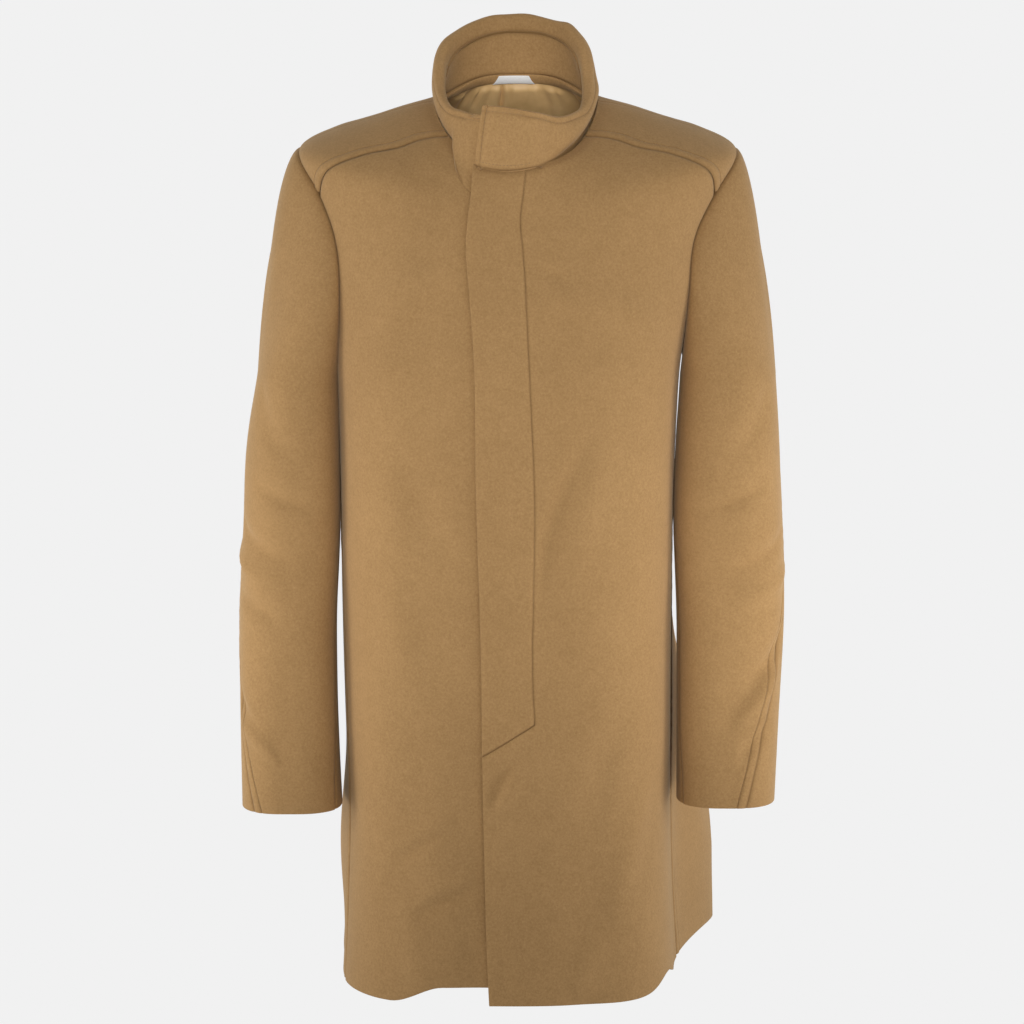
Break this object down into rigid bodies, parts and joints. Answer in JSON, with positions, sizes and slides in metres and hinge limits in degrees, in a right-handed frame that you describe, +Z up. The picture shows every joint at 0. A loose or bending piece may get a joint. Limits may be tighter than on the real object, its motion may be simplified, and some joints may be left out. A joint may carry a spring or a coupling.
{
  "type": "wool overcoat",
  "caption": "Knee-length wool overcoat in its worn, empty shape, with a stand collar and tab, a concealed front fly, shoulder yokes and two-piece sleeves.",
  "frame": {"origin": "where a wearer carries the coat: on its centre line between the shoulder points, 20 mm above them", "axes": "+Z up, -Y the way the coat faces, +X towards the wearer's left"},
  "size_m": [0.5639, 0.3271, 0.9914],
  "materials": {
    "wool": "soft napped wool melton, matt with a faint sheen",
    "wool_collar": "soft napped wool melton, topstitched",
    "lining": "smooth satin",
    "label": "woven label, blank"
  },
  "bodies": {
    "root": {"front_right": "wool", "front_left": "wool", "placket": "wool", "yoke_right": "wool", "yoke_left": "wool", "back": "wool", "sleeve_top_right": "wool", "sleeve_under_right": "wool", "sleeve_top_left": "wool", "sleeve_under_left": "wool", "collar_outer": "wool_collar", "collar_inner": "wool_collar", "neck_facing": "wool_collar", "lining_back": "lining", "label": "label"}
  },
  "joints": []
}
